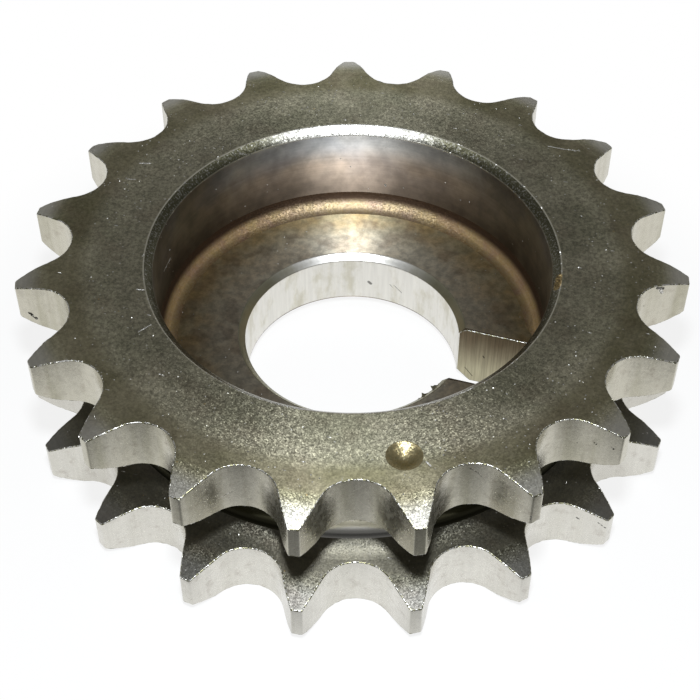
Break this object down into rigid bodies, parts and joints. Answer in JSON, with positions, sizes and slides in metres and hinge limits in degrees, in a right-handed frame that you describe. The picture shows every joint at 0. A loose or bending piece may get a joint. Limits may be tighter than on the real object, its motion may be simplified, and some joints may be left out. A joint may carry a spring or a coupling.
{
  "type": "duplex chain sprocket",
  "caption": "Double-row roller-chain sprocket with a deep counterbore, a keyed bore through a thin web and a drilled timing mark.",
  "frame": {"origin": "on the bore's axis, at the lower face that the part stands on", "axes": "+Z along the bore from the lower face to the counterbored face, +X through the middle of the drive slot"},
  "size_m": [0.0607, 0.0606, 0.0166],
  "materials": {
    "steel": "turned and milled carbon steel with a used, oily, darkened film"
  },
  "bodies": {
    "root": {"sprocket": "steel"}
  },
  "joints": []
}
